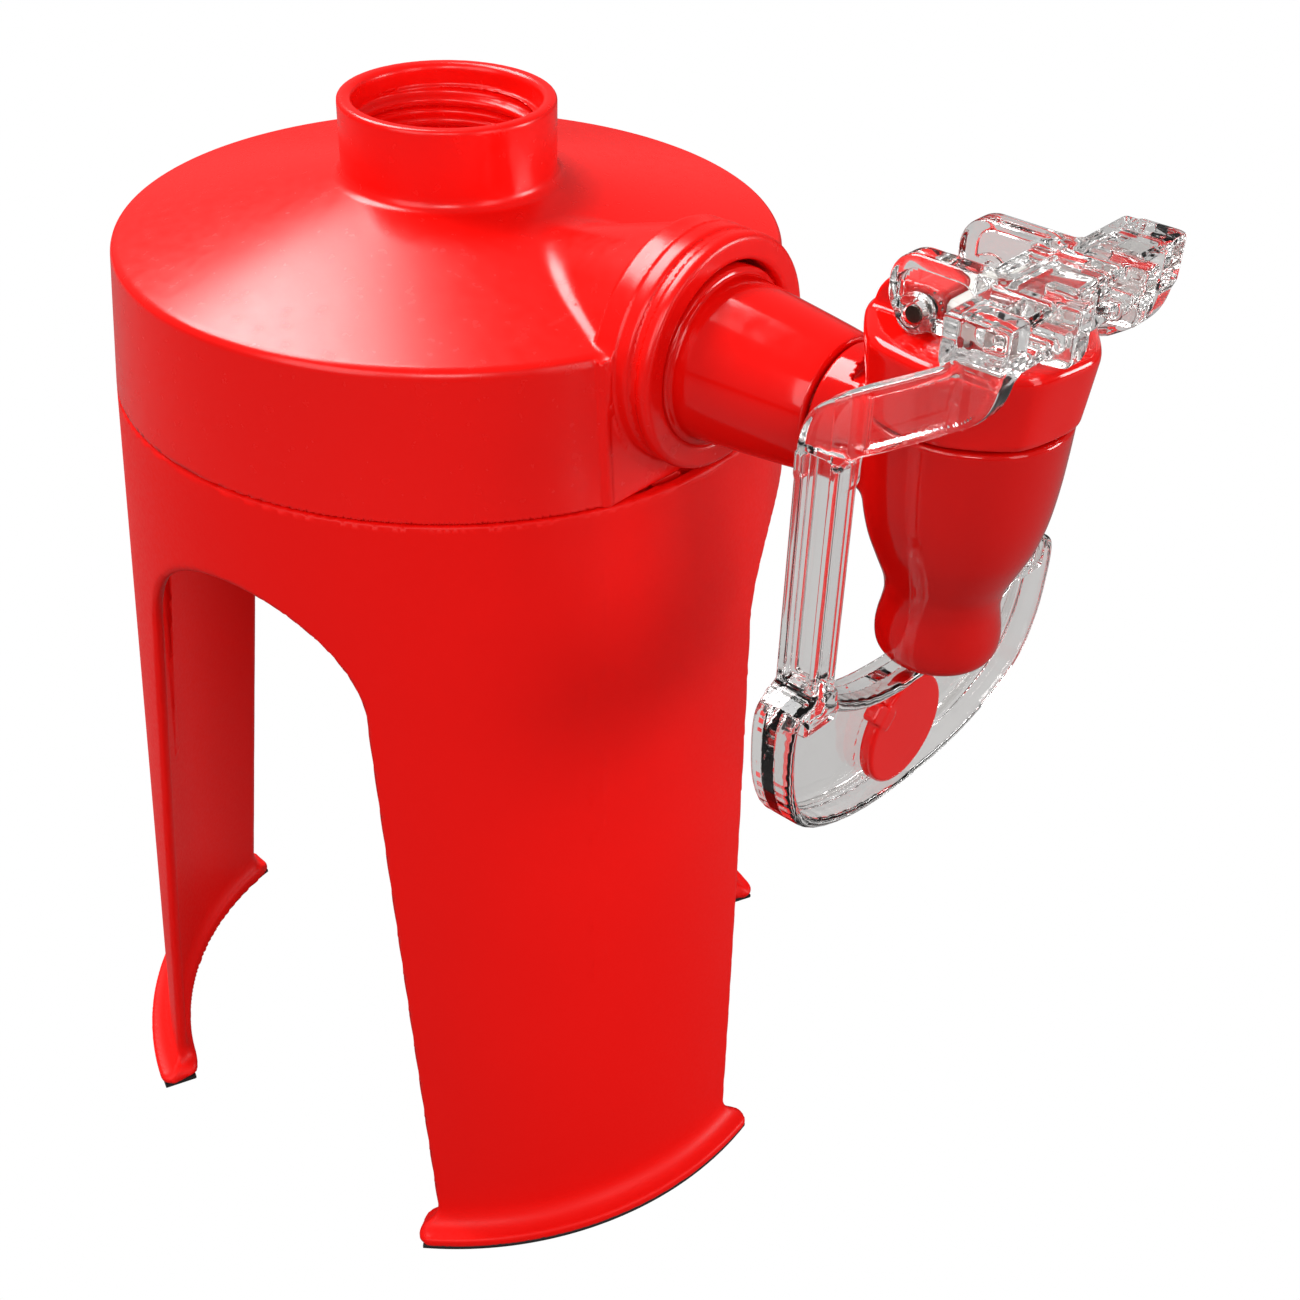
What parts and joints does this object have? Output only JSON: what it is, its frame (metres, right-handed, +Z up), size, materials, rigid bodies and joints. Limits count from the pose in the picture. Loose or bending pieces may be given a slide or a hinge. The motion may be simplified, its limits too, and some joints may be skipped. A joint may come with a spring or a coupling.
{
  "type": "inverted bottle drink dispenser",
  "caption": "Table stand that holds a screw-top drink bottle upside down and pours through a side tube and a push tap with a clear stirrup lever.",
  "frame": {"origin": "bottom centre of the object's box at rest, on the table", "axes": "+Z up, along the bottle's axis; +X horizontal, from the bottle's axis towards the tap; +Y completes a right-handed frame"},
  "size_m": [0.1796, 0.128, 0.1946],
  "materials": {
    "red_satin": "fine satin moulded texture",
    "red_gloss": "moulded gloss",
    "tap_red": "polished moulding",
    "clear": "water-clear polystyrene",
    "white_plastic": "plain moulding",
    "silicone": "soft translucent white",
    "rubber": "matt",
    "steel": "bright drawn"
  },
  "bodies": {
    "dispenser": {"stand": "red_satin", "foot_pad_1": "rubber", "foot_pad_2": "rubber", "foot_pad_3": "rubber", "head_shell": "red_gloss", "head_screw_1": "steel", "head_screw_2": "steel", "head_screw_3": "steel", "drink_duct": "red_satin", "neck_gasket": "silicone", "chamber_plug": "red_satin", "plug_seal": "silicone", "outlet_tube": "tap_red", "tube_gasket": "silicone", "tap_body": "tap_red", "inlet_seal": "silicone", "tap_cap": "tap_red", "cap_gasket": "silicone", "stem_seal": "silicone", "valve_spring": "steel", "pivot_pin": "steel"},
    "lever": {"lever": "clear", "lever_disc": "red_gloss"},
    "valve": {"valve_stem": "white_plastic", "valve_seal": "silicone"}
  },
  "joints": [
    {"name": "lever_pivot", "type": "hinge", "parent": "dispenser", "child": "lever", "pos_m": [0.0677, -0.00231, 0.1869], "axis": [0, 1, 0], "range_deg": [0, 6], "stiffness_Nm_per_rad": 0.3, "springref_deg": -8.59},
    {"name": "valve_slide", "type": "slide", "parent": "dispenser", "child": "valve", "axis": [0, 0, -1], "range_m": [0, 0.00105], "deforming": ["valve_spring"]}
  ],
  "couplings": [
    {"joint": "valve_slide", "follows": "lever_pivot", "m_per_rad": 0.0096}
  ]
}
